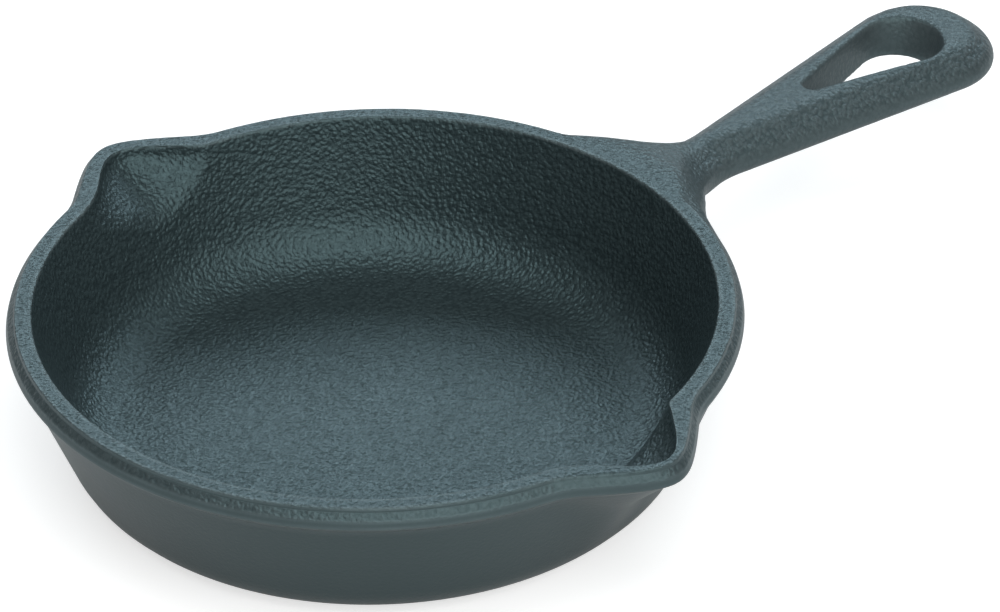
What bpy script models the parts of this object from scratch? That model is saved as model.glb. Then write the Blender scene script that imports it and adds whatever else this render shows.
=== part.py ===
"""Cast iron skillet: bowl with a rim band, two pouring spouts and a level handle, poured as one casting.

The pan stands on Z = 0 with the bowl's axis on Z. The handle runs along +X, the spouts point along +Y and -Y.
Sizes are in millimetres and become metres as each mesh is made.
"""

import math

import bpy

MM = 0.001
SHARP_ANGLE = math.radians(38.0)
TOOL_CLEARANCE = 4.0         # cutters stand this far clear of what they cut

# bowl, outside
RIM_HEIGHT = 36.6
BAND_RADIUS = 82.5
LIP_RADIUS = 80.2            # outer edge of the rim's top face
WALL_TOP_RADIUS = 80.55      # where the band has tapered into the wall
BAND_DEPTH = 6.0             # and how far below the rim's top face that is
WALL_LEAN = math.radians(21.0)
# the rim band from its top edge down: how far inside BAND_RADIUS, and how far below the rim's top face
BAND_STEPS = (
    (BAND_RADIUS - LIP_RADIUS, 0.0),
    (2.0, 0.9),
    (0.7, 1.3),
    (0.0, 2.0),
    (0.0, 3.1),
    (BAND_RADIUS - WALL_TOP_RADIUS, BAND_DEPTH),
)
WALL_TOP_Z = RIM_HEIGHT - BAND_DEPTH
BASE_ROUND = 9.8
WALL_RING_Z = 13.4           # a ring of edges near the feet of the prows
TURN_STEPS = 120

# bowl, inside
MOUTH_RADIUS = 76.6
FLOOR_HEIGHT = 4.6
INNER_LEAN = math.radians(18.0)
COVE_ROUND = 15.0
HOLLOW_RING_Z = 23.5         # a ring of edges near the feet of the scoops
ARC_POINTS = 6

# spouts
SPOUT_TURN = math.radians(1.0)  # the line of the spouts stands this far off square to the handle
SPOUT_REACH = 93.4           # band's outer face at the tip, from the bowl's axis
SPOUT_NOSE = 7.0             # roundness of the nose in plan
SPOUT_FLANK = 0.9            # outward run of a flank for each unit sideways
SPOUT_TAPER = 1.4            # the tip's band tapers in by this much more than the bowl's
SPOUT_HALF_WIDTH = 24.0
SPOUT_ROOT = 66.0            # where the solid ends, inside the hollow that is cut later
SPOUT_SINK = 0.12            # lip of the spout below the rim's top face
PROW_LEAN = 1.0              # how far the prow falls back for each unit down
PROW_FOOT = 12.0             # height at which the prow has sunk into the wall
SCOOP_ROOT = 40.0            # where the cutter ends, in the open middle of the bowl
NOSE_POINTS = 25
LEFT_SCOOP_REACH = 87.4      # the hollow's tip at the rim, from the bowl's axis
RIGHT_SCOOP_REACH = 90.0
SCOOP_NOSE = 7.6
LEFT_SCOOP_FLANK = 1.2
RIGHT_SCOOP_FLANK = 1.5
SCOOP_EDGE = 1.0             # straight drop before the hollow draws back
SCOOP_DEPTH = 15.0
SCOOP_FADE = 26.0            # how far the hollow draws back over that depth
SCOOP_LEVELS = 7

# handle
END_X = 180.8                # centre of the handle's round end
END_RADIUS = 18.4
NECK_X = 107.0
NECK_HALF_WIDTH = 8.0
FLARE_RADIUS = 16.0          # plan radius at which the neck starts to widen into the bowl
FLARE_ANGLE = math.radians(45.5)
ROOT_X = 69.0                # where the solid ends, inside the wall and the hollow
ROOT_CREST_Z = 36.3          # top of the handle's middle where it leaves the rim
NECK_CREST_Z = 31.9
END_CREST_Z = 29.9
CREST_START_X = 82.0
CREST_END_X = 103.0
HANDLE_THICKNESS = 9.6
ROOT_THICKNESS = 15.0
FACET_WIDTH = 5.2            # sloping facet beside the flat top
FACET_FALL = 5.6             # from the crest to the widest level
ROOT_FACET_WIDTH = 6.0
ROOT_FACET_FALL = 3.6
# points from the middle of the top to the widest level, as shares of the flat, the facet's width and its fall
TOP_CURVE = (
    (0.0, 0.0, 0.0),
    (0.55, 0.0, 0.06),
    (1.0, 0.0, 0.16),
    (1.0, 0.5, 0.42),
    (1.0, 0.86, 0.74),
    (1.0, 1.0, 1.0),
)
SIDE_DRAFT = 0.2             # the side leans in by this before it turns under
SIDE_FOOT = 2.4              # the level where it turns under, above the underside
ROOT_SIDE_FOOT = 10.6
UNDER_INSET = 2.0            # the underside's edge, in from the side
UNDER_RISE = 0.4             # and above the underside
ROOT_UNDER_SHARE = 0.72      # at the root the edge is at this share of the half width
ROOT_UNDER_RISE = 5.2
UNDER_FLAT = 0.38            # share of the half width that is flat underneath
FLARE_STATIONS = 7
BAR_STATIONS = 9
END_TURNS = 12               # faces round the handle's end

# hanging hole, a teardrop pointing at the bowl
HOLE_X = 173.8               # centre of its round end
HOLE_RADIUS = 9.6
HOLE_TIP_X = 138.4
HOLE_TIP_RADIUS = 1.8
HOLE_TAPER = 0.6             # wider above by this, narrower at mid depth by this and underneath by twice this
HOLE_TIP_TAPER = 0.4         # share of that taper that the narrow end has
HOLE_FRONT_POINTS = 17
HOLE_BACK_POINTS = 5

IRON_COLOUR = (0.055, 0.066, 0.070, 1.0)


def clear_scene():
    for old in list(bpy.data.objects):
        bpy.data.objects.remove(old, do_unlink=True)


def make_collection(name):
    made = bpy.data.collections.new(name)
    bpy.context.scene.collection.children.link(made)
    return made


def add_mesh(name, points, faces, where, edges=()):
    mesh = bpy.data.meshes.new(name)
    mesh.from_pydata([(x * MM, y * MM, z * MM) for x, y, z in points], list(edges), faces)
    mesh.shade_smooth()
    mesh.set_sharp_from_angle(angle=SHARP_ANGLE)
    made = bpy.data.objects.new(name, mesh)
    where.objects.link(made)
    return made


def hide_as_tool(tool):
    tool.hide_render = True
    tool.display_type = "WIRE"
    return tool


def turned(name, profile, where):
    """A solid of revolution about Z from (radius, height) points, listed from the top down the outer side."""
    points = [(radius, 0.0, height) for radius, height in profile]
    edges = [(i, i + 1) for i in range(len(points) - 1)]
    made = add_mesh(name, points, [], where, edges)
    screw = made.modifiers.new("Turn", "SCREW")
    screw.axis = "Z"
    screw.angle = math.tau
    screw.steps = TURN_STEPS
    screw.render_steps = TURN_STEPS
    screw.use_merge_vertices = True
    screw.merge_threshold = 0.00005
    screw.use_smooth_shade = True
    return made


def arc(centre_x, centre_y, radius, start, end, count):
    """Points on a circle from one angle to the other, both included."""
    steps = [start + (end - start) * i / (count - 1) for i in range(count)]
    return [(centre_x + radius * math.cos(a), centre_y + radius * math.sin(a)) for a in steps]


def bowl_profile():
    """Rim, band, leaning wall and rounded foot, from the axis at the top to the axis at the base."""
    rim = [(BAND_RADIUS - inset, RIM_HEIGHT - drop) for inset, drop in BAND_STEPS]
    ring_radius = WALL_TOP_RADIUS - (WALL_TOP_Z - WALL_RING_Z) * math.tan(WALL_LEAN)
    foot_z = BASE_ROUND * (1.0 - math.sin(WALL_LEAN))
    foot_radius = WALL_TOP_RADIUS - (WALL_TOP_Z - foot_z) * math.tan(WALL_LEAN)
    round_x = foot_radius - BASE_ROUND * math.cos(WALL_LEAN)
    foot = arc(round_x, BASE_ROUND, BASE_ROUND, -WALL_LEAN, -math.pi / 2.0, ARC_POINTS)
    return [(0.0, RIM_HEIGHT)] + rim + [(ring_radius, WALL_RING_Z)] + foot + [(0.0, 0.0)]


def hollow_profile():
    """The inside: a leaning wall, a wide cove and a flat floor, starting above the rim."""
    reach = math.tan(INNER_LEAN)
    corner = MOUTH_RADIUS - (RIM_HEIGHT - FLOOR_HEIGHT) * reach
    tangent = COVE_ROUND * math.tan((math.pi / 2.0 - INNER_LEAN) / 2.0)
    centre = (corner - tangent, FLOOR_HEIGHT + COVE_ROUND)
    cove = arc(*centre, COVE_ROUND, -INNER_LEAN, -math.pi / 2.0, ARC_POINTS + 1)
    top = RIM_HEIGHT + TOOL_CLEARANCE
    ring = (MOUTH_RADIUS - (RIM_HEIGHT - HOLLOW_RING_Z) * reach, HOLLOW_RING_Z)
    return [(0.0, top), (MOUTH_RADIUS + TOOL_CLEARANCE * reach, top), ring] + cove + [(0.0, FLOOR_HEIGHT)]


def nose_outline(tip, nose, flank, root):
    """Plan of a spout: a rounded V whose nose is at distance tip, closed by a straight line at root."""
    points = []
    for i in range(NOSE_POINTS):
        across = SPOUT_HALF_WIDTH * (2.0 * i / (NOSE_POINTS - 1) - 1.0)
        fall = math.sqrt(across * across + nose * nose) - nose
        points.append((across, max(tip - flank * fall, root + 1.0)))
    return points + [(SPOUT_HALF_WIDTH, root), (-SPOUT_HALF_WIDTH, root)]


def lofted(name, sections, where):
    """A closed solid through plan outlines of equal length, listed from the top down as (outline, height)."""
    count = len(sections[0][0])
    points = [(x, y, height) for outline, height in sections for x, y in outline]
    faces = [tuple(range(count))[::-1]]
    for level in range(len(sections) - 1):
        upper = level * count
        lower = upper + count
        for i in range(count):
            j = (i + 1) % count
            faces.append((upper + i, upper + j, lower + j, lower + i))
    last = (len(sections) - 1) * count
    faces.append(tuple(range(last, last + count)))
    return add_mesh(name, points, faces, where)


def aimed(tool, angle):
    """Point a spout's tool, made towards +Y, along the line of the spouts."""
    tool.rotation_euler = (0.0, 0.0, angle + SPOUT_TURN)
    return tool


def spout_solid(name, angle, where):
    """Lip, band and prow of one spout, filled to inside the bowl."""
    top = RIM_HEIGHT - SPOUT_SINK
    levels = []
    for inset, drop in BAND_STEPS[:-1]:
        levels.append((SPOUT_REACH - inset, top - drop))
    inset, drop = BAND_STEPS[-1]
    prow_tip = SPOUT_REACH - SPOUT_TAPER * inset
    levels.append((prow_tip, top - drop))
    levels.append((prow_tip - PROW_LEAN * (top - drop - PROW_FOOT), PROW_FOOT))
    sections = [(nose_outline(tip, SPOUT_NOSE, SPOUT_FLANK, SPOUT_ROOT), height) for tip, height in levels]
    return hide_as_tool(aimed(lofted(name, sections, where), angle))


def scoop_solid(name, angle, reach, flank, where):
    """The hollow of one spout, deepest at the rim and fading out down the inner wall."""
    straight = RIM_HEIGHT - SCOOP_EDGE
    levels = [(reach, RIM_HEIGHT + TOOL_CLEARANCE), (reach, straight)]
    for i in range(1, SCOOP_LEVELS + 1):
        share = i / SCOOP_LEVELS
        fade = SCOOP_FADE * (1.0 - math.cos(share * math.pi / 2.0))
        levels.append((reach - fade, straight - SCOOP_DEPTH * share))
    sections = [(nose_outline(tip, SCOOP_NOSE, flank, SCOOP_ROOT), height) for tip, height in levels]
    return hide_as_tool(aimed(lofted(name, sections, where), angle))


def side_line():
    """The handle's straight side in plan: its lean, and the end's tangent point."""
    run = END_X - NECK_X
    lean = math.asin(END_RADIUS / math.hypot(run, NECK_HALF_WIDTH)) - math.atan2(NECK_HALF_WIDTH, run)
    return lean, END_X - END_RADIUS * math.sin(lean)


def half_width(x):
    """Half the handle's width at its widest level: round end, straight side, neck arc, straight flare."""
    lean, tangent_x = side_line()
    if x >= tangent_x:
        return math.sqrt(END_RADIUS ** 2 - min(x - END_X, 0.0) ** 2)
    if x >= NECK_X:
        return NECK_HALF_WIDTH + (x - NECK_X) * math.tan(lean)
    centre_x = NECK_X - FLARE_RADIUS * math.sin(lean)
    centre_y = NECK_HALF_WIDTH + FLARE_RADIUS * math.cos(lean)
    arc_end_x = centre_x - FLARE_RADIUS * math.sin(FLARE_ANGLE)
    if x >= arc_end_x:
        return centre_y - math.sqrt(FLARE_RADIUS ** 2 - (x - centre_x) ** 2)
    return centre_y - FLARE_RADIUS * math.cos(FLARE_ANGLE) + (arc_end_x - x) * math.tan(FLARE_ANGLE)


def ease(x, start, end):
    share = min(max((x - start) / (end - start), 0.0), 1.0)
    return share * share * (3.0 - 2.0 * share)


def mix(first, second, share):
    return first + (second - first) * share


def half_section(x):
    """Half of the handle's cross-section as (side, height), from the top's middle to the bottom's."""
    width = half_width(x)
    bar = ease(x, CREST_START_X, CREST_END_X)
    along = (x - NECK_X) / (END_X - NECK_X)
    crest = mix(ROOT_CREST_Z, mix(NECK_CREST_Z, END_CREST_Z, along), bar)
    inset = mix(ROOT_FACET_WIDTH, FACET_WIDTH, bar)
    fall = mix(ROOT_FACET_FALL, FACET_FALL, bar)
    depth = mix(ROOT_THICKNESS, HANDLE_THICKNESS, bar)
    flat = width - inset
    under = crest - depth
    under_edge = mix(width * ROOT_UNDER_SHARE, width - UNDER_INSET, bar)
    upper = [(flat * out + inset * beyond, crest - fall * down) for out, beyond, down in TOP_CURVE]
    return upper + [
        (width - SIDE_DRAFT, under + mix(ROOT_SIDE_FOOT, SIDE_FOOT, bar)),
        (under_edge, under + mix(ROOT_UNDER_RISE, UNDER_RISE, bar)),
        (width * UNDER_FLAT, under),
        (0.0, under),
    ]


def handle_stations():
    """Where along X the handle's sections are taken."""
    lean, _ = side_line()
    arc_end_x = NECK_X - FLARE_RADIUS * (math.sin(lean) + math.sin(FLARE_ANGLE))
    flare = [mix(arc_end_x, NECK_X, i / FLARE_STATIONS) for i in range(FLARE_STATIONS + 1)]
    bar = [mix(NECK_X, END_X, i / BAR_STATIONS) for i in range(1, BAR_STATIONS + 1)]
    return [ROOT_X, mix(ROOT_X, arc_end_x, 0.5)] + flare + bar


def handle_solid(name, where):
    """The handle's bar lofted along X and turned round the centre of its end, closed inside the bowl."""
    points = []
    rings = []
    for x in handle_stations():
        half = half_section(x)
        loop = [(x, side, height) for side, height in half]
        loop += [(x, -side, height) for side, height in half[-2:0:-1]]
        rings.append(list(range(len(points), len(points) + len(loop))))
        points += loop
    faces = [tuple(rings[0])]
    around = len(rings[0])
    for first, second in zip(rings, rings[1:]):
        for i in range(around):
            j = (i + 1) % around
            faces.append((first[i], second[i], second[j], first[j]))
    faces += end_faces(points, rings[-1])
    return hide_as_tool(add_mesh(name, points, faces, where))


def end_faces(points, last_ring):
    """Turn the last section through half a circle to close the handle's end."""
    half = half_section(END_X)
    count = len(half)
    top, bottom = last_ring[0], last_ring[count - 1]
    far_side = [last_ring[-i] for i in range(1, count - 1)]
    spokes = [last_ring[1:count - 1]]
    for step in range(1, END_TURNS):
        angle = math.pi / 2.0 - math.pi * step / END_TURNS
        spoke = []
        for side, height in half[1:-1]:
            spoke.append(len(points))
            points.append((END_X + side * math.cos(angle), side * math.sin(angle), height))
        spokes.append(spoke)
    spokes.append(far_side)
    faces = []
    for first, second in zip(spokes, spokes[1:]):
        faces.append((top, first[0], second[0])[::-1])
        for i in range(count - 3):
            faces.append((first[i], second[i], second[i + 1], first[i + 1]))
        faces.append((bottom, first[-1], second[-1]))
    return faces


def teardrop(shrink):
    """Outline of the hanging hole at one depth: two arcs joined by their common tangents."""
    big = HOLE_RADIUS - shrink
    small = HOLE_TIP_RADIUS - shrink * HOLE_TIP_TAPER
    tip_x = HOLE_TIP_X + HOLE_TIP_RADIUS + shrink
    tilt = math.acos((big - small) / (HOLE_X - tip_x))
    front = arc(HOLE_X, 0.0, big, -math.pi + tilt, math.pi - tilt, HOLE_FRONT_POINTS)
    back = arc(tip_x, 0.0, small, math.pi - tilt, math.pi + tilt, HOLE_BACK_POINTS)
    return front + back


def hole_solid(name, where):
    top = END_CREST_Z
    bottom = top - HANDLE_THICKNESS
    middle = (top + bottom) / 2.0
    levels = [
        (-HOLE_TAPER, top + TOOL_CLEARANCE),
        (0.0, top),
        (HOLE_TAPER, middle),
        (2.0 * HOLE_TAPER, bottom),
        (2.0 * HOLE_TAPER, bottom - TOOL_CLEARANCE),
    ]
    sections = [(teardrop(shrink)[::-1], height) for shrink, height in levels]
    return hide_as_tool(lofted(name, sections, where))


def boolean(target, operation, tool):
    cut = target.modifiers.new(operation.title() + " " + tool.name, "BOOLEAN")
    cut.operation = operation
    cut.solver = "EXACT"
    cut.object = tool


def iron(name):
    made = bpy.data.materials.new(name)
    made.use_nodes = True
    shader = made.node_tree.nodes["Principled BSDF"]
    shader.inputs["Base Color"].default_value = IRON_COLOUR
    shader.inputs["Metallic"].default_value = 0.35
    shader.inputs["Roughness"].default_value = 0.6
    made.diffuse_color = IRON_COLOUR
    return made


def main():
    clear_scene()
    parts = make_collection("cast_iron_skillet")
    tools = make_collection("cutters")
    casting = turned("skillet_casting", bowl_profile(), parts)
    boolean(casting, "UNION", handle_solid("handle_bar", tools))
    boolean(casting, "UNION", spout_solid("spout_left", 0.0, tools))
    boolean(casting, "UNION", spout_solid("spout_right", math.pi, tools))
    boolean(casting, "DIFFERENCE", hide_as_tool(turned("hollow", hollow_profile(), tools)))
    left_scoop = scoop_solid("scoop_left", 0.0, LEFT_SCOOP_REACH, LEFT_SCOOP_FLANK, tools)
    right_scoop = scoop_solid("scoop_right", math.pi, RIGHT_SCOOP_REACH, RIGHT_SCOOP_FLANK, tools)
    boolean(casting, "DIFFERENCE", left_scoop)
    boolean(casting, "DIFFERENCE", right_scoop)
    boolean(casting, "DIFFERENCE", hole_solid("hanging_hole", tools))
    shading = casting.modifiers.new("Even shading", "WEIGHTED_NORMAL")
    shading.mode = "FACE_AREA_WITH_ANGLE"
    shading.keep_sharp = True
    casting.data.materials.append(iron("cast_iron"))


main()
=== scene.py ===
"""Looks of a cast iron skillet: one smooth casting with a sand-cast grain, in soft studio light.

The casting is drawn as two surfaces that lie in one another without a step:
- bowl_shell: a fan of profiles round the bowl's axis, pushed out into a spout on either side;
- handle_skin: the handle, the flare that joins it to the rim, and the hanging hole, as one blended surface.
Lengths are in millimetres until a mesh is made.
"""

import math

import bpy
import numpy as np
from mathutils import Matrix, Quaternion, Vector, noise


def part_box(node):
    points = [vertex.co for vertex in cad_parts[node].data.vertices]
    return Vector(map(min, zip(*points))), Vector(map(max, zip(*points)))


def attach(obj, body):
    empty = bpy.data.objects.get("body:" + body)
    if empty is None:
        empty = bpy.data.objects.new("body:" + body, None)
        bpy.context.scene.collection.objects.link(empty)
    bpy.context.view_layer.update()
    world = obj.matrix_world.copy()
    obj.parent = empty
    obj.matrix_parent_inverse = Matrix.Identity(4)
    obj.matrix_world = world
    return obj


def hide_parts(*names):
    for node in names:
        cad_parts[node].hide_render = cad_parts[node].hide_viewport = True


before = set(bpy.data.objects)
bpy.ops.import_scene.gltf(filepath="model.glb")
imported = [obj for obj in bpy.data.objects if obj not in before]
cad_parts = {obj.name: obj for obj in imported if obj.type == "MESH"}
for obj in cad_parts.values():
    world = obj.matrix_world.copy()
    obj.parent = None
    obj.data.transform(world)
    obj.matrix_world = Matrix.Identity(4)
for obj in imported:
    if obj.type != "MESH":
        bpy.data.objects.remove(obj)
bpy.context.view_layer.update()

MM = 0.001
NODE = "skillet_casting"

# the casting's box, from the CAD
CAD_LOW, CAD_HIGH = [np.array(corner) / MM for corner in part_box(NODE)]
BAND_RADIUS = -CAD_LOW[0]
SPOUT_REACH = CAD_HIGH[1]
RIM_HEIGHT = CAD_HIGH[2]
HANDLE_END = CAD_HIGH[0]

# bowl
WALL_LEAN = math.radians(21.2)
WALL_TOP_INSET = 1.95        # where the band has tapered into the wall, inside the band's radius
BAND_BOTTOM = 6.0            # below the rim's top
BAND_DULLNESS = 0.65         # the band is rubbed dull, though less than the handle
BAND_FACE = 4.2              # from here down the band tapers
SHOULDER_DROP = 2.4
SHOULDER_INSET = 0.5
LIP_DROP = 0.9               # the rim's top ends in a small riser above a steep shoulder
LIP_INSET = 1.9
RISER_LEAN = 0.2             # the riser leans in by this
CROWN_FALL = 0.04            # the rim's top is all but flat
FOOT_ROUND = 9.7
MOUTH_RADIUS = 76.6
INNER_LEAN = math.radians(18.0)
COVE_ROUND = 15.0
FLOOR_HEIGHT = 4.6
TURN_STEPS = 640

# the profile's smaller roundings, and the spacing of its points along each run
TAPER_ROUND = 0.4
BAND_ROUND = 0.8
SHOULDER_ROUND = 0.8
RISER_ROUND = 0.25
LIP_ROUND = 0.5
CROWN_ROUND = 9.0
MOUTH_ROUND = 0.6
BASE_STEP = 12.0
WALL_STEP = 1.8
TAPER_STEP = 0.4
BAND_STEP = 0.5
SHOULDER_STEP = 0.4
RISER_STEP = 0.3
CROWN_STEP = 0.7
MOUTH_STEP = 0.5
SCOOP_STEP = 0.2
INNER_WALL_STEP = 0.9
FLOOR_STEP = 5.0
ARC_STEP = math.radians(14.0)  # the most that a rounded corner turns from one point to the next

# spouts
SPOUT_TURN = math.radians(1.0)  # the line of the spouts stands this far off square to the handle
NOSE_ROUND = 7.0
NOSE_FLANK = 0.9             # outward run of a flank for each unit sideways
CORNER_BLEND = 2.0           # how softly a flank leaves the rim
FOOT_BLEND = 8.0             # and how softly prow and scoop end in the wall
SCOOP_CORNER = 1.0
SCOOP_BLEND = 7.0
SOFT_CORNER = 5.0            # the scoop's flank away from the handle is softer
SOFT_ANGLE = math.radians(9.0)
SPOUT_SPAN = math.radians(40.0)  # beyond this a spout changes nothing
NOSE_TAPER = 1.4             # the nose's band tapers in by this much more than the bowl's
PROW_LEAN = 1.05
PROW_DEPTH = 30.0            # below the rim, where the prow has sunk into the wall
LEFT_SCOOP_REACH = 87.4
RIGHT_SCOOP_REACH = 90.0
SCOOP_ROUND = 7.6
LEFT_SCOOP_FLANK = 1.2
RIGHT_SCOOP_FLANK = 1.5
SCOOP_EDGE = 2.0             # the scoop's steep side, below the rim, before its floor draws back to the bowl
SCOOP_BOTTOM = 16.0
SCOOP_FADE = 22.0
SCOOP_CURVE = 1.5
SCOOP_FINE_ABOVE = 0.5       # the inside's points are closest from this much above the scoop's edge
SCOOP_FINE_BELOW = 1.0       # to this much below its bottom
# each spout: where it points, how far out its scoop reaches at the rim, and the scoop's flank
SPOUTS = (
    (math.pi / 2.0 + SPOUT_TURN, LEFT_SCOOP_REACH, LEFT_SCOOP_FLANK),
    (-math.pi / 2.0 + SPOUT_TURN, RIGHT_SCOOP_REACH, RIGHT_SCOOP_FLANK),
)

# handle
END_RADIUS = 18.4
NECK_X = 107.0
NECK_HALF_WIDTH = 8.0
FLARE_ANGLE = math.radians(45.5)
FLARE_X = 93.3               # a point on the flare's straight flank, and its distance from the middle
FLARE_SIDE = 12.7
FLARE_BLEND = 9.5
CREST_START = 80.5           # the top slopes down from the rim to the bar between these radii
CREST_END = 105.0
NECK_CREST = 31.9
END_CREST = 29.9
CREST_CROWN = 0.0015         # the top falls away to the sides by this times the distance squared
THICKNESS = 9.6
ROOT_THICKNESS = 15.0
WIDEST_DROP = 5.6            # from the crest to the widest level
FACET_WIDTH = 5.3            # the sloping shoulder beside the flat top
FACET_DROP = 0.9
FACET_SLOPE = 0.78
TOP_BLEND = 1.0
SIDE_BLEND = 2.4
BOTTOM_BLEND = 3.6
SIDE_DRAFT = 0.08
ROOT_DRAFT = 1.2             # the flare narrows by this for each unit down
DRAFT_END = CREST_END - 3.0  # the radius where the bar's own draft is reached
ROOT_BLEND = 5.0             # how softly the handle leaves the wall
RIM_BLEND = 1.0              # and the rim; one goes over into the other between the next two depths
RIM_BLEND_TOP = 0.6
RIM_BLEND_FOOT = 3.4
BOWL_LIMIT = CREST_END + 8.0  # beyond this radius the bowl has no say in the handle's shape
BOWL_LOWEST = 10.0           # the part of the wall that the handle can meet starts here
CROWN_REACH = 12.0           # the rim's top goes on inwards by this, over the hollow
SKIN_CELL = 0.85             # the handle's net is drawn in cells of this size, in the space
SKIN_START = 68.0            # beyond this, within this width and above this level
SKIN_HALF_WIDTH = 42.0
SKIN_BOTTOM = 14.0
SKIN_MARGIN = 1.0            # left free round the handle, and cut off where the space ends
RIM_SEAM = 78.2              # inside this radius the rim's flat top is the bowl's own
SKIN_GAP = 0.03              # a net this close to the bowl's own surface isn't needed
SETTLE_ROUNDS = 2
RELAX_ROUNDS = 2
RELAX_SHARE = 0.5            # of the way to the middle of a point's neighbours
SLOPE_REACH = 0.02           # half the distance that a field's slope is measured over
LEAST_SLOPE = 0.05           # the least squared slope that a step is divided by

# hanging hole
HOLE_FROM_END = 25.2         # centre of its round end, from the handle's end
HOLE_RADIUS = 10.4
HOLE_LENGTH = 31.6           # from that centre to the tip's centre
HOLE_TIP_RADIUS = 2.2
HOLE_LEAN = 0.15             # the hole runs towards the bowl by this for each unit of depth
HOLE_DRAFT = 0.19            # narrowing for each unit of depth
HOLE_EDGE = 1.0

# surface: how coarse the grain is, from 0 to 1 on the inside
TOP_GRAIN = 0.85
HANDLE_GRAIN = 0.28
WALL_GRAIN = 0.08
ROUGHNESS_STEP = 1.9         # size and height of the casting's uneven spots, drawn into the mesh
ROUGHNESS_HEIGHT = 0.05
UP_FACING = (0.3, 0.9)       # upward part of the normal, from a side to a top face
GRAIN_DEPTHS = (0.3, 2.5)    # below the rim, where the inside's grain begins and is full
BAND_DULL_START = 0.4        # share of the lip's drop where the band's dullness begins
EDGE_CURVES = (0.3, 1.2)     # curvature, per mm, from which an edge starts to wear and is fully worn
LEAST_RUN = 1e-3             # the least squared length of an edge that a bend is divided by
PEBBLE_SCALE = 900.0         # grain sizes, as repeats in a metre
DIMPLE_SCALE = 1250.0
SAND_SCALE = 2600.0
CLOUD_SCALE = 30.0
CLOUD_DETAIL = 4.0
CLOUD_BREAKUP = 0.6
PEBBLE_HEIGHT = 0.00031      # in metres
SAND_HEIGHT = 0.00003
# painted shade: the colour that the grain's recesses are darkened towards
RECESS_SHADE_COLOUR = (0.012, 0.018, 0.020, 1.0)
IRON_COLOUR = (0.027, 0.040, 0.043, 1.0)
HANDLE_COLOUR = (0.054, 0.068, 0.072, 1.0)  # the handle is bare and dull beside the oiled bowl
WORN_COLOUR = (0.075, 0.095, 0.100, 1.0)
SPECULAR_TINT = (0.60, 0.94, 1.0, 1.0)
SPECULAR_LEVEL = 0.6
IRON_IOR = 1.5
ROUGHNESS = (0.28, 0.34)
RECESS_ROUGHNESS = 0.12      # added in the recesses, and where the iron is dull
DULL_ROUGHNESS = 0.08
PEBBLE_SHARE = 0.6           # the pebbles' and the dimples' part of the grain's relief
DIMPLE_SHARE = 0.4
PEBBLE_SOFTNESS = 0.35
PEBBLE_RANGE = (0.0, 0.7)    # the range of each pattern that counts
NOISE_RANGE = (0.3, 0.7)
PATCH_RANGE = (0.35, 0.65)
RECESS_SHADE_DEPTHS = (0.5, 0.15)  # relief from which the painted shade in a recess begins and is darkest
# how far the painted shade darkens the deepest recesses
RECESS_SHADE_STRENGTH = 0.8
WORN_SHARES = (0.2, 0.9)     # how much of a sharp edge is bare, from patch to patch

# studio, in metres
LIGHT_TARGET = (0.0, 0.0, 0.03)
VIEW_TARGET = (0.03436, -0.00428, 0.020)
VIEW_AZIMUTH = math.radians(-43.6)
VIEW_ELEVATION = math.radians(33.76)
VIEW_DISTANCE = 1.206
VIEW_ROLL = math.radians(-0.78)
LENS = 190.47
SENSOR_WIDTH = 36.0
CLIPPING = (0.05, 20.0)
FLOOR_HALF_SIZE = 4.0
FLOOR_ROUGHNESS = 0.9
FLOOR_COLOUR = (0.6, 0.6, 0.6, 1.0)
FLOOR_GLOW = 0.12            # what it gives the pan
FLOOR_SEEN = 0.62            # and what it shows the camera, besides its colour
SKY_LIGHT = 0.15
SKY_SEEN = 0.97
# softboxes: name, azimuth, elevation, distance, width, height, brightness, colour
SOFTBOXES = (
    ("window_softbox", 131.0, 33.0, 1.6, 2.6, 0.52, 4.0, (0.84, 1.0, 1.10)),
    ("fill_softbox", -20.0, 33.0, 1.7, 2.4, 1.6, 1.85, (1.0, 1.0, 0.98)),
    ("top_softbox", -44.0, 76.0, 1.6, 1.6, 1.1, 2.6, (0.98, 1.0, 1.0)),
)


def make_mesh(name, points, face_sets):
    """An object from points in millimetres and arrays of faces, one array for each number of corners."""
    corners = np.concatenate([faces.ravel() for faces in face_sets]).astype(np.int32)
    sizes = np.concatenate([np.full(len(faces), faces.shape[1], dtype=np.int32) for faces in face_sets])
    mesh = bpy.data.meshes.new(name)
    mesh.vertices.add(len(points))
    mesh.vertices.foreach_set("co", (np.asarray(points, dtype=np.float32) * MM).ravel())
    mesh.loops.add(len(corners))
    mesh.loops.foreach_set("vertex_index", corners)
    mesh.polygons.add(len(sizes))
    mesh.polygons.foreach_set("loop_start", np.cumsum(sizes) - sizes)
    mesh.polygons.foreach_set("loop_total", sizes)
    mesh.update(calc_edges=True)
    mesh.shade_smooth()
    made = bpy.data.objects.new(name, mesh)
    bpy.context.scene.collection.objects.link(made)
    return made


def soft_max(a, b, blend):
    """The larger of two values, rounded where they are within blend of each other."""
    overlap = np.maximum(blend - np.abs(a - b), 0.0) / blend
    return np.maximum(a, b) + overlap * overlap * blend / 4.0


def soft_min(a, b, blend):
    return -soft_max(-a, -b, blend)


def mix(first, second, share):
    return first + (second - first) * share


def ease(value, start, end):
    share = np.clip((value - start) / (end - start), 0.0, 1.0)
    return share * share * (3.0 - 2.0 * share)


# ---------------------------------------------------------------- bowl

def corner_arc(before, corner, after, radius):
    """Points of the arc that rounds one corner of a chain."""
    towards = before - corner
    towards = towards / np.linalg.norm(towards)
    away = after - corner
    away = away / np.linalg.norm(away)
    half = math.acos(float(np.clip(towards @ away, -1.0, 1.0))) / 2.0
    cut = radius / math.tan(half)
    middle = (towards + away) / np.linalg.norm(towards + away)
    centre = corner + middle * radius / math.sin(half)
    count = max(3, math.ceil((math.pi - 2.0 * half) / ARC_STEP) + 1)
    first = corner + towards * cut - centre
    last = corner + away * cut - centre
    start = math.atan2(first[1], first[0])
    turn = math.atan2(first[0] * last[1] - first[1] * last[0], float(first @ last))
    angles = start + turn * np.linspace(0.0, 1.0, count)
    return centre + radius * np.column_stack([np.cos(angles), np.sin(angles)])


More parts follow.
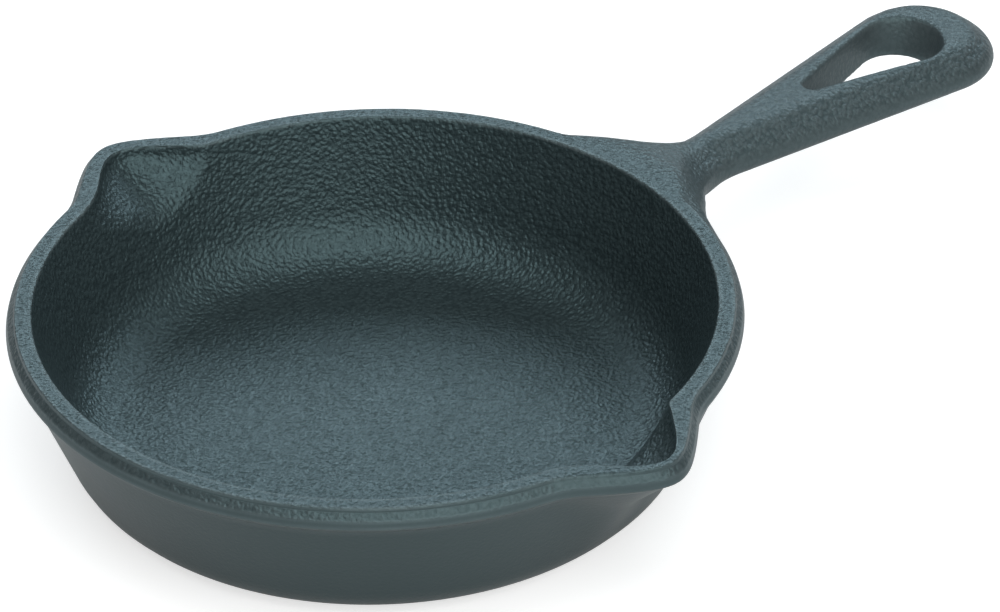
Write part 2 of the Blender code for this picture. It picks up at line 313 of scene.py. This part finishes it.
def rounded_chain(corners):
    """A fine chain through corners given as radius, height, rounding, and spacing of the run that follows."""
    places = np.array([corner[:2] for corner in corners])
    pieces = [places[:1]]
    for i in range(1, len(corners) - 1):
        if corners[i][2] == 0.0:
            pieces.append(places[i:i + 1])
        else:
            pieces.append(corner_arc(places[i - 1], places[i], places[i + 1], corners[i][2]))
    pieces.append(places[-1:])
    chain = [pieces[0]]
    for i in range(1, len(pieces)):
        start, end = pieces[i - 1][-1], pieces[i][0]
        count = max(1, math.ceil(float(np.linalg.norm(end - start)) / corners[i - 1][3]))
        share = np.linspace(0.0, 1.0, count + 1)[1:-1, None]
        chain.append(start + (end - start) * share)
        chain.append(pieces[i])
    return np.vstack(chain)


def outer_corners():
    """The bowl's outside, from the middle of the base to the rim's top."""
    wall_top = RIM_HEIGHT - BAND_BOTTOM
    wall_radius = BAND_RADIUS - WALL_TOP_INSET
    lip_radius = BAND_RADIUS - LIP_INSET
    return [
        (0.0, 0.0, 0.0, BASE_STEP),
        (wall_radius - wall_top * math.tan(WALL_LEAN), 0.0, FOOT_ROUND, WALL_STEP),
        (wall_radius, wall_top, TAPER_ROUND, TAPER_STEP),
        (BAND_RADIUS, RIM_HEIGHT - BAND_FACE, BAND_ROUND, BAND_STEP),
        (BAND_RADIUS - SHOULDER_INSET, RIM_HEIGHT - SHOULDER_DROP, SHOULDER_ROUND, SHOULDER_STEP),
        (lip_radius, RIM_HEIGHT - LIP_DROP, RISER_ROUND, RISER_STEP),
        (lip_radius - RISER_LEAN, RIM_HEIGHT - CROWN_FALL, LIP_ROUND, CROWN_STEP),
    ]


def inner_radius(drop):
    """Radius of the leaning inner wall at a depth below the rim."""
    return MOUTH_RADIUS - drop * math.tan(INNER_LEAN)


def inner_corners():
    """The rim's crown and the bowl's inside, down to the middle of the floor."""
    cove_radius = inner_radius(RIM_HEIGHT - FLOOR_HEIGHT)
    scoop_start = SCOOP_EDGE - SCOOP_FINE_ABOVE
    scoop_end = SCOOP_BOTTOM + SCOOP_FINE_BELOW
    return [
        ((BAND_RADIUS - LIP_INSET + MOUTH_RADIUS) / 2.0, RIM_HEIGHT, CROWN_ROUND, CROWN_STEP),
        (MOUTH_RADIUS, RIM_HEIGHT - CROWN_FALL, MOUTH_ROUND, MOUTH_STEP),
        (inner_radius(scoop_start), RIM_HEIGHT - scoop_start, 0.0, SCOOP_STEP),
        (inner_radius(scoop_end), RIM_HEIGHT - scoop_end, 0.0, INNER_WALL_STEP),
        (cove_radius, FLOOR_HEIGHT, COVE_ROUND, FLOOR_STEP),
        (0.0, FLOOR_HEIGHT, 0.0, FLOOR_STEP),
    ]


def bowl_profile():
    """The bowl's profile from the base's middle to the floor's middle, and where its crown is."""
    profile = rounded_chain(outer_corners() + inner_corners())
    return profile, int(np.argmax(profile[:, 1]))


def nose_radius(turn, tip, flank, rounding):
    """Distance from the bowl's axis to a spout's outline, at an angle from the spout's middle."""
    along = np.cos(turn)
    across = flank * np.sin(turn)
    far = tip + flank * rounding
    rest = far * far - (flank * rounding) ** 2
    lean = 2.0 * far * along
    root = np.sqrt(lean * lean + 4.0 * (across * across - along * along) * rest)
    return 2.0 * rest / (lean + root)


def hollow_share(profile, crown):
    """0 on the outside of the profile, 1 on the inside, and between them across the rim's top."""
    radius, drop = profile[:, 0], RIM_HEIGHT - profile[:, 1]
    lip_radius = BAND_RADIUS - LIP_INSET
    share = np.clip((lip_radius - radius) / (lip_radius - MOUTH_RADIUS), 0.0, 1.0)
    outside = (np.arange(len(profile)) < crown) & (drop > LIP_DROP)
    return np.where(outside, 0.0, share)


def outer_tips(radius, drop):
    """How far out the spout's nose stands on the outside: band, taper and prow."""
    inset = BAND_RADIUS - radius
    tips = SPOUT_REACH - inset * np.where(drop > BAND_FACE, NOSE_TAPER, 1.0)
    prow = SPOUT_REACH - WALL_TOP_INSET * NOSE_TAPER - PROW_LEAN * (drop - BAND_BOTTOM)
    tips = np.where(drop > BAND_BOTTOM, prow, tips)
    return np.where(drop > PROW_DEPTH, 0.0, tips)


def scoop_tips(radius, drop, reach):
    """How far out the scoop's nose stands, from the rim down to where it has sunk into the wall."""
    wall = reach - (MOUTH_RADIUS - np.minimum(radius, MOUTH_RADIUS))
    share = np.clip((drop - SCOOP_EDGE) / (SCOOP_BOTTOM - SCOOP_EDGE), 0.0, 1.0)
    tips = wall - SCOOP_FADE * share ** SCOOP_CURVE
    return np.where(drop > SCOOP_BOTTOM, 0.0, tips)


def spout_shape(profile, crown, scoop_reach, scoop_flank):
    """The spout's outline at each point of the profile: tip, flank, rounding, and how softly it starts."""
    radius, drop = profile[:, 0], RIM_HEIGHT - profile[:, 1]
    share = hollow_share(profile, crown)
    tip = mix(outer_tips(radius, drop), scoop_tips(radius, drop, scoop_reach), share)
    flank = mix(NOSE_FLANK, scoop_flank, share)
    rounding = mix(NOSE_ROUND, SCOOP_ROUND, share)
    outer_blend = mix(CORNER_BLEND, FOOT_BLEND, ease(drop, BAND_BOTTOM, PROW_DEPTH))
    inner_blend = mix(SCOOP_CORNER, SCOOP_BLEND, ease(drop, SCOOP_EDGE, SCOOP_BOTTOM))
    return np.stack([tip, flank, rounding, mix(outer_blend, inner_blend, share)])[:, 1:-1, None]


def spout_outline(turn, middle, shape, softening):
    """Which angles one spout reaches, its radius there ring by ring, and how softly it starts."""
    tip, flank, rounding, blend = shape
    aside = np.mod(turn - middle + math.pi, math.tau) - math.pi
    near = np.abs(aside) < SPOUT_SPAN
    nose = nose_radius(np.abs(aside[near]), tip, flank, rounding)
    away = ease(-np.cos(turn[near]), 0.0, math.sin(SOFT_ANGLE))
    return near, nose, np.maximum(blend, away * softening)


def spouted_radius(profile, crown, turn):
    """The bowl's radius ring by ring at each angle, drawn out into both spouts."""
    radius = np.repeat(profile[1:-1, :1], len(turn), axis=1)
    softening = SOFT_CORNER * hollow_share(profile, crown)[1:-1, None]
    for middle, reach, scoop_flank in SPOUTS:
        shape = spout_shape(profile, crown, reach, scoop_flank)
        near, nose, blend = spout_outline(turn, middle, shape, softening)
        radius[:, near] = soft_max(radius[:, near], nose, blend)
    return radius


def ring_faces(rings):
    """Quads between neighbouring rings, and fans that close the first and the last from two points more."""
    here = np.arange(TURN_STEPS)
    after = (here + 1) % TURN_STEPS
    ring = np.arange(rings - 1)[:, None] * TURN_STEPS
    corners = [ring + here, ring + after, ring + TURN_STEPS + after, ring + TURN_STEPS + here]
    last = (rings - 1) * TURN_STEPS
    base = rings * TURN_STEPS
    fans = np.vstack([
        np.stack([np.full(TURN_STEPS, base), after, here], axis=-1),
        np.stack([np.full(TURN_STEPS, base + 1), last + here, last + after], axis=-1),
    ])
    return np.stack(corners, axis=-1).reshape(-1, 4), fans


def bowl_shell():
    """The bowl with both spouts: its points ring by ring, quads, fans, and which points are inside."""
    profile, crown = bowl_profile()
    rings = len(profile) - 2
    turn = np.arange(TURN_STEPS) * math.tau / TURN_STEPS
    radius = spouted_radius(profile, crown, turn)
    height = np.repeat(profile[1:-1, 1:], TURN_STEPS, axis=1)
    points = np.stack([radius * np.cos(turn), radius * np.sin(turn), height], axis=-1).reshape(-1, 3)
    points = np.vstack([points, [0.0, 0.0, profile[0, 1]], [0.0, 0.0, profile[-1, 1]]])
    quads, fans = ring_faces(rings)
    inside = np.repeat(np.arange(rings) >= crown, TURN_STEPS)
    return points, quads, fans, np.append(inside, [False, True])


# ---------------------------------------------------------------- handle

def capsule_distance(x, y, radius, length, far_radius):
    """Signed distance from two circles on the x axis, at 0 and at length, joined by their common tangents."""
    slope = (radius - far_radius) / length
    level = math.sqrt(1.0 - slope * slope)
    side = np.abs(y)
    place = level * x - slope * side
    near_circle = np.hypot(x, side) - radius
    far_circle = np.hypot(x - length, side) - far_radius
    flank = level * side + slope * x - radius
    return np.where(place < 0.0, near_circle, np.where(place > level * length, far_circle, flank))


def plan_distance(x, y):
    """Signed distance from the handle's outline in plan, with its flare; negative inside."""
    end_x = HANDLE_END - END_RADIUS
    run = end_x - NECK_X
    lean = math.asin(END_RADIUS / math.hypot(run, NECK_HALF_WIDTH)) - math.atan2(NECK_HALF_WIDTH, run)
    bar = capsule_distance(end_x - x, y, END_RADIUS, end_x, END_RADIUS - end_x * math.sin(lean))
    flare = (np.abs(y) - FLARE_SIDE) * math.cos(FLARE_ANGLE) + (x - FLARE_X) * math.sin(FLARE_ANGLE)
    return soft_min(bar, flare, FLARE_BLEND)


def handle_field(x, y, z):
    """Signed distance, nearly, from the handle and its flare, without the hole."""
    plan = plan_distance(x, y)
    out = np.hypot(x, y)
    bar = ease(out, CREST_START, CREST_END)
    along = (x - NECK_X) / (HANDLE_END - END_RADIUS - NECK_X)
    crest = mix(RIM_HEIGHT, mix(NECK_CREST, END_CREST, along), bar)
    depth = mix(ROOT_THICKNESS, THICKNESS, bar)
    draft = mix(ROOT_DRAFT, SIDE_DRAFT, ease(out, BAND_RADIUS, DRAFT_END))
    widest = crest - WIDEST_DROP
    top = z - crest + CREST_CROWN * y * y * bar
    facet = (z - crest + FACET_DROP + (plan + FACET_WIDTH) * FACET_SLOPE) / math.hypot(1.0, FACET_SLOPE)
    side = plan + draft * np.maximum(widest - z, 0.0)
    bottom = crest - depth - z
    upper = soft_max(top, facet, TOP_BLEND)
    body = soft_max(upper, side, SIDE_BLEND)
    return soft_max(body, bottom, BOTTOM_BLEND)


def hole_field(x, y, z):
    centre_x = HANDLE_END - HOLE_FROM_END
    depth = END_CREST - z
    plan = capsule_distance(centre_x - HOLE_LEAN * depth - x, y, HOLE_RADIUS, HOLE_LENGTH, HOLE_TIP_RADIUS)
    return plan + HOLE_DRAFT * depth


def chain_distance(chain, across, up):
    """Signed distance in the plane from an open chain, negative on its left."""
    best = np.full(across.shape, np.inf)
    signed = np.zeros(across.shape)
    for start, end in zip(chain[:-1], chain[1:]):
        run = end - start
        length = float(np.linalg.norm(run))
        run = run / length
        local_a, local_b = across - start[0], up - start[1]
        share = np.clip(local_a * run[0] + local_b * run[1], 0.0, length)
        gap = np.hypot(local_a - share * run[0], local_b - share * run[1])
        side = local_a * run[1] - local_b * run[0]
        closer = gap < best
        best = np.where(closer, gap, best)
        signed = np.where(closer, np.where(side > 0.0, gap, -gap), signed)
    return signed


def outer_chain():
    """The part of the bowl's outside that the handle meets: wall, band, lip and the rim's crown."""
    profile, crown = bowl_profile()
    outside = profile[:crown + 1]
    return np.vstack([outside[outside[:, 1] > BOWL_LOWEST], [MOUTH_RADIUS - CROWN_REACH, RIM_HEIGHT]])


def bowl_field(x, y, z):
    """Signed distance from the bowl's outside near the handle, with the hollow filled in."""
    return chain_distance(outer_chain(), np.hypot(x, y), z)


def casting_field(x, y, z):
    """The handle blended into the bowl, less the hanging hole."""
    bar = handle_field(x, y, z)
    near = np.hypot(x, y) < BOWL_LIMIT
    joined = bar.copy()
    bowl = bowl_field(x[near], y[near], z[near])
    level = ease(z[near], RIM_HEIGHT - RIM_BLEND_FOOT, RIM_HEIGHT - RIM_BLEND_TOP)
    blend = mix(ROOT_BLEND, RIM_BLEND, level)
    joined[near] = np.maximum(soft_min(bar[near], bowl, blend), z[near] - RIM_HEIGHT)
    return soft_max(joined, -hole_field(x, y, z), HOLE_EDGE)


def crossing_points(values, axes):
    """Where the zero level crosses the grid's edges: the sum of the places in each cell, and their number."""
    shape = tuple(size - 1 for size in values.shape)
    total = np.zeros(shape + (3,))
    count = np.zeros(shape)
    grid = np.stack(np.meshgrid(*axes, indexing="ij"), axis=-1)
    for axis in range(3):
        first = np.take(values, range(values.shape[axis] - 1), axis=axis)
        second = np.take(values, range(1, values.shape[axis]), axis=axis)
        crossed = (first < 0.0) != (second < 0.0)
        share = np.where(crossed, first / np.where(crossed, first - second, 1.0), 0.0)
        start = np.take(grid, range(values.shape[axis] - 1), axis=axis)
        place = start.copy()
        place[..., axis] += share * (axes[axis][1] - axes[axis][0])
        others = [other for other in range(3) if other != axis]
        for shift_a in (0, 1):
            for shift_b in (0, 1):
                window = [slice(None)] * 3
                window[others[0]] = slice(shift_a, shift_a + shape[others[0]])
                window[others[1]] = slice(shift_b, shift_b + shape[others[1]])
                hit = crossed[tuple(window)]
                count += hit
                total += place[tuple(window)] * hit[..., None]
    return total, count


def net_faces(values, index):
    """One quad round each grid edge that the zero level crosses."""
    faces = []
    inside = values < 0.0
    for axis in range(3):
        a, b = [(axis + 1) % 3, (axis + 2) % 3]
        window = [slice(1, -1)] * 3
        window[axis] = slice(0, -1)
        ahead = list(window)
        ahead[axis] = slice(1, None)
        first, second = inside[tuple(window)], inside[tuple(ahead)]
        at = np.argwhere(first != second)
        leaving = first[tuple(at.T)]
        at = at + 1
        at[:, axis] -= 1
        step_a = np.eye(3, dtype=int)[a]
        step_b = np.eye(3, dtype=int)[b]
        ring = [at - step_a - step_b, at - step_b, at, at - step_a]
        quad = np.stack([index[tuple(corner.T)] for corner in ring], axis=-1)
        quad[~leaving] = quad[~leaving][:, ::-1]
        faces.append(quad)
    return np.vstack(faces)


def settle(points, field, rounds):
    """Move points onto the field's zero level along its slope."""
    shifts = SLOPE_REACH * np.eye(3)
    for _ in range(rounds):
        value = field(*points.T)
        rises = [field(*(points + shift).T) - field(*(points - shift).T) for shift in shifts]
        slope = np.stack(rises, axis=-1) / (2.0 * SLOPE_REACH)
        points = points - slope * (value / np.maximum((slope * slope).sum(axis=1), LEAST_SLOPE))[:, None]
    return points


def relax(points, faces, share):
    """Move each point part of the way to the middle of its neighbours."""
    total = np.zeros_like(points)
    count = np.zeros(len(points))
    for i in range(4):
        here, there = faces[:, i], faces[:, (i + 1) % 4]
        np.add.at(total, here, points[there])
        np.add.at(total, there, points[here])
        np.add.at(count, here, 1)
        np.add.at(count, there, 1)
    return mix(points, total / np.maximum(count, 1)[:, None], share)


def handle_skin():
    """The handle's surface as a net of quads, kept only where it stands clear of the bowl's own surface."""
    low = np.array([SKIN_START, -SKIN_HALF_WIDTH, SKIN_BOTTOM])
    high = np.array([HANDLE_END + SKIN_MARGIN, SKIN_HALF_WIDTH, RIM_HEIGHT + SKIN_MARGIN])
    axes = [np.arange(a, b + SKIN_CELL, SKIN_CELL) for a, b in zip(low, high)]
    values = casting_field(*np.meshgrid(*axes, indexing="ij"))
    total, count = crossing_points(values, axes)
    index = np.cumsum(count.ravel() > 0).reshape(count.shape) - 1
    points = total[count > 0] / count[count > 0][:, None]
    faces = net_faces(values, index)
    points = settle(points, casting_field, SETTLE_ROUNDS)
    for _ in range(RELAX_ROUNDS):
        points = settle(relax(points, faces, RELAX_SHARE), casting_field, 1)
    out = np.hypot(points[:, 0], points[:, 1])
    hugging = (out < CREST_END) & (np.abs(bowl_field(*points.T)) < SKIN_GAP)
    inner = out < RIM_SEAM
    edge = (np.abs(points[:, 1]) > SKIN_HALF_WIDTH - SKIN_MARGIN) | (points[:, 2] < SKIN_BOTTOM + SKIN_MARGIN)
    dropped = hugging[faces].all(axis=1) | (inner | edge)[faces].any(axis=1)
    faces = faces[~dropped]
    used, faces = np.unique(faces, return_inverse=True)
    return points[used], faces.reshape(-1, 4)


# ---------------------------------------------------------------- iron

def mesh_values(source, name, width, kind=np.float32):
    """One value of every vertex or edge as an array."""
    values = np.empty(len(source) * width, dtype=kind)
    source.foreach_get(name, values)
    return values.reshape(-1, width)


def set_point_values(mesh, name, values):
    layer = mesh.attributes.new(name, "FLOAT", "POINT")
    layer.data.foreach_set("value", np.asarray(values, dtype=np.float32))


def sharpness(mesh):
    """How strongly the surface bends outwards at each point, per millimetre."""
    places = mesh_values(mesh.vertices, "co", 3).astype(float) / MM
    normals = mesh_values(mesh.vertices, "normal", 3).astype(float)
    first, second = mesh_values(mesh.edges, "vertices", 2, np.int32).T
    run = places[second] - places[first]
    rise = ((normals[second] - normals[first]) * run).sum(axis=1)
    bend = rise / np.maximum((run * run).sum(axis=1), LEAST_RUN)
    most = np.zeros(len(places))
    np.maximum.at(most, first, bend)
    np.maximum.at(most, second, bend)
    return most


def uneven(points, normals, coarse):
    """Points moved in and out by a little noise, more where the grain is coarse."""
    swell = np.array([noise.noise(Vector(place)) for place in points / ROUGHNESS_STEP])
    return points + normals * (ROUGHNESS_HEIGHT * swell * coarse)[:, None]


def dullness(points, inside):
    """How far the iron has lost its oiled sheen at each point: the handle most, then the rim's band."""
    drop = RIM_HEIGHT - points[:, 2]
    reached = ease(drop, BAND_DULL_START * LIP_DROP, LIP_DROP)
    passed = ease(drop, BAND_BOTTOM, BAND_BOTTOM + LIP_DROP)
    band = np.where(inside, 0.0, reached * (1.0 - passed) * BAND_DULLNESS)
    return np.maximum(ease(points[:, 0], BAND_RADIUS, CREST_END), band)


def casting():
    """Bowl and handle in one object, with how coarse the grain and how worn the iron is at each point."""
    bowl, bowl_quads, bowl_fans, inside = bowl_shell()
    skin, skin_quads = handle_skin()
    quads = np.vstack([bowl_quads, skin_quads + len(bowl)])
    points = np.vstack([bowl, skin])
    made = make_mesh("casting", points, [quads, bowl_fans])
    inside = np.append(inside, np.zeros(len(skin), dtype=bool))
    normals = mesh_values(made.data.vertices, "normal", 3).astype(float)
    least = np.where(np.arange(len(points)) < len(bowl), WALL_GRAIN, HANDLE_GRAIN)
    coarse = mix(least, TOP_GRAIN, ease(normals[:, 2], *UP_FACING))
    depth = ease(RIM_HEIGHT - points[:, 2], *GRAIN_DEPTHS)
    coarse = np.where(inside, mix(TOP_GRAIN, 1.0, depth), coarse)
    set_point_values(made.data, "grain", coarse)
    set_point_values(made.data, "wear", ease(sharpness(made.data), *EDGE_CURVES))
    set_point_values(made.data, "dull", dullness(points, inside))
    points = np.clip(uneven(points, normals, coarse), CAD_LOW, CAD_HIGH)
    made.data.vertices.foreach_set("co", (points * MM).astype(np.float32).ravel())
    made.data.update()
    return made


# a Mix node's sockets for colours
MIX_SHARE = 0
MIX_FIRST = 6
MIX_SECOND = 7
MIX_RESULT = 2


class Nodes:
    """Adds shader nodes to one material and joins them up."""

    def __init__(self, name):
        self.material = bpy.data.materials.new(name)
        self.material.use_nodes = True
        self.tree = self.material.node_tree
        self.shader = self.tree.nodes["Principled BSDF"]
        self.coordinates = self.add("ShaderNodeTexCoord", {}).outputs["Object"]

    def add(self, kind, inputs, **settings):
        node = self.tree.nodes.new(kind)
        for name, value in settings.items():
            setattr(node, name, value)
        for name, value in inputs.items():
            self.put(node, name, value)
        return node

    def put(self, node, name, value):
        if isinstance(value, bpy.types.NodeSocket):
            self.tree.links.new(value, node.inputs[name])
        else:
            node.inputs[name].default_value = value

    def noise(self, scale, detail=2.0, roughness=0.5):
        inputs = {"Vector": self.coordinates, "Scale": scale, "Detail": detail, "Roughness": roughness}
        return self.add("ShaderNodeTexNoise", inputs).outputs["Fac"]

    def pebbles(self, scale):
        """Distance from the nearest of many scattered points: 0 on top of a pebble."""
        inputs = {"Vector": self.coordinates, "Scale": scale, "Smoothness": PEBBLE_SOFTNESS}
        return self.add("ShaderNodeTexVoronoi", inputs, feature="SMOOTH_F1").outputs["Distance"]

    def attribute(self, name):
        return self.add("ShaderNodeAttribute", {}, attribute_name=name).outputs["Fac"]

    def calculate(self, operation, first, second):
        return self.add("ShaderNodeMath", {0: first, 1: second}, operation=operation).outputs[0]

    def span(self, value, source, target):
        """Map one range of values onto another, held at its ends."""
        inputs = {
            "Value": value,
            "From Min": source[0],
            "From Max": source[1],
            "To Min": target[0],
            "To Max": target[1],
        }
        return self.add("ShaderNodeMapRange", inputs).outputs["Result"]

    def blend(self, share, first, second):
        inputs = {MIX_SHARE: share, MIX_FIRST: first, MIX_SECOND: second}
        return self.add("ShaderNodeMix", inputs, data_type="RGBA").outputs[MIX_RESULT]


def iron():
    """Seasoned cast iron: dark blue-grey, satin, pebbled by the sand of its mould, with painted shade in the
    pebbles' recesses.
    """
    nodes = Nodes("seasoned_cast_iron")
    grain = nodes.attribute("grain")
    wear = nodes.attribute("wear")
    dull = nodes.attribute("dull")
    pebbles = nodes.pebbles(PEBBLE_SCALE)
    dimples = nodes.noise(DIMPLE_SCALE)
    sand = nodes.noise(SAND_SCALE)
    clouds = nodes.noise(CLOUD_SCALE, CLOUD_DETAIL, CLOUD_BREAKUP)

    tops = nodes.span(pebbles, PEBBLE_RANGE, (PEBBLE_SHARE, 0.0))
    relief = nodes.calculate("ADD", tops, nodes.span(dimples, NOISE_RANGE, (0.0, DIMPLE_SHARE)))
    height = nodes.calculate("MULTIPLY", nodes.calculate("MULTIPLY", relief, grain), PEBBLE_HEIGHT)
    height = nodes.calculate("ADD", height, nodes.calculate("MULTIPLY", sand, SAND_HEIGHT))
    bump = nodes.add("ShaderNodeBump", {"Height": height, "Distance": 1.0, "Strength": 1.0})

    # painted shade: the grain's recesses are darkened in the base colour, more where the grain is coarse, and
    # are also made rougher
    recess_shade = nodes.span(relief, RECESS_SHADE_DEPTHS, (0.0, RECESS_SHADE_STRENGTH))
    recess_shade = nodes.calculate("MULTIPLY", recess_shade, grain)
    colour = nodes.blend(recess_shade, nodes.blend(dull, IRON_COLOUR, HANDLE_COLOUR), RECESS_SHADE_COLOUR)
    spots = nodes.calculate("MULTIPLY", wear, nodes.span(clouds, PATCH_RANGE, WORN_SHARES))
    colour = nodes.blend(spots, colour, WORN_COLOUR)

    rough = nodes.span(clouds, NOISE_RANGE, ROUGHNESS)
    rough = nodes.calculate("ADD", rough, nodes.calculate("MULTIPLY", recess_shade, RECESS_ROUGHNESS))
    rough = nodes.calculate("ADD", rough, nodes.calculate("MULTIPLY", dull, DULL_ROUGHNESS))

    shader = nodes.shader
    nodes.put(shader, "Base Color", colour)
    nodes.put(shader, "Roughness", rough)
    nodes.put(shader, "Normal", bump.outputs["Normal"])
    nodes.put(shader, "IOR", IRON_IOR)
    nodes.put(shader, "Specular IOR Level", SPECULAR_LEVEL)
    nodes.put(shader, "Specular Tint", SPECULAR_TINT)
    return nodes.material


# ---------------------------------------------------------------- studio

def aim(thing, place, target, roll=0.0):
    """Put a camera or light at a place, looking at a target."""
    thing.location = place
    turn = (Vector(target) - Vector(place)).to_track_quat("-Z", "Y")
    thing.rotation_euler = (turn @ Quaternion((0.0, 0.0, 1.0), roll)).to_euler()


def orbit(target, azimuth, elevation, distance):
    """A place seen from the target: azimuth 0 is the -Y side, 90 the +X side."""
    flat = distance * math.cos(elevation)
    return Vector(target) + Vector((
        flat * math.sin(azimuth),
        -flat * math.cos(azimuth),
        distance * math.sin(elevation),
    ))


def camera():
    data = bpy.data.cameras.new("camera")
    data.sensor_width = SENSOR_WIDTH
    data.lens = LENS
    data.clip_start, data.clip_end = CLIPPING
    made = bpy.data.objects.new("camera", data)
    bpy.context.scene.collection.objects.link(made)
    place = orbit(VIEW_TARGET, VIEW_AZIMUTH, VIEW_ELEVATION, VIEW_DISTANCE)
    aim(made, place, VIEW_TARGET, VIEW_ROLL)
    bpy.context.scene.camera = made


def seen_share(tree, lighting, seen):
    """A brightness with one value for what lights the pan and another for what the camera sees."""
    rays = tree.nodes.new("ShaderNodeLightPath")
    choice = tree.nodes.new("ShaderNodeMapRange")
    choice.inputs["To Min"].default_value = lighting
    choice.inputs["To Max"].default_value = seen
    tree.links.new(rays.outputs["Is Camera Ray"], choice.inputs["Value"])
    return choice.outputs["Result"]


def floor():
    """A wide pale sheet that the pan stands on."""
    half = FLOOR_HALF_SIZE
    corners = [(-half, -half, 0.0), (half, -half, 0.0), (half, half, 0.0), (-half, half, 0.0)]
    mesh = bpy.data.meshes.new("studio_floor")
    mesh.from_pydata(corners, [], [(0, 1, 2, 3)])
    made = bpy.data.objects.new("studio_floor", mesh)
    bpy.context.scene.collection.objects.link(made)
    nodes = Nodes("pale_floor")
    nodes.put(nodes.shader, "Base Color", FLOOR_COLOUR)
    nodes.put(nodes.shader, "Roughness", FLOOR_ROUGHNESS)
    nodes.put(nodes.shader, "Specular IOR Level", 0.0)
    nodes.put(nodes.shader, "Emission Color", (1.0, 1.0, 1.0, 1.0))
    nodes.put(nodes.shader, "Emission Strength", seen_share(nodes.tree, FLOOR_GLOW, FLOOR_SEEN))
    mesh.materials.append(nodes.material)


def softbox(name, azimuth, elevation, distance, width, height, brightness, colour):
    """A wide, even light that faces the pan."""
    data = bpy.data.lights.new(name, "AREA")
    data.shape = "RECTANGLE"
    data.size = width
    data.size_y = height
    data.energy = brightness * math.pi * width * height
    data.color = colour
    made = bpy.data.objects.new(name, data)
    bpy.context.scene.collection.objects.link(made)
    aim(made, orbit(LIGHT_TARGET, math.radians(azimuth), math.radians(elevation), distance), LIGHT_TARGET)
    made.visible_camera = False


def sky():
    """A pale surround, which lights the pan less than it shows behind it."""
    world = bpy.data.worlds.new("studio")
    world.use_nodes = True
    tree = world.node_tree
    background = tree.nodes["Background"]
    background.inputs["Color"].default_value = (1.0, 1.0, 1.0, 1.0)
    tree.links.new(seen_share(tree, SKY_LIGHT, SKY_SEEN), background.inputs["Strength"])
    bpy.context.scene.world = world


def main():
    pan = casting()
    pan.data.materials.append(iron())
    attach(pan, "root")
    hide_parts(NODE)
    floor()
    camera()
    sky()
    for settings in SOFTBOXES:
        softbox(*settings)
    bpy.context.scene.view_settings.view_transform = "Standard"


main()
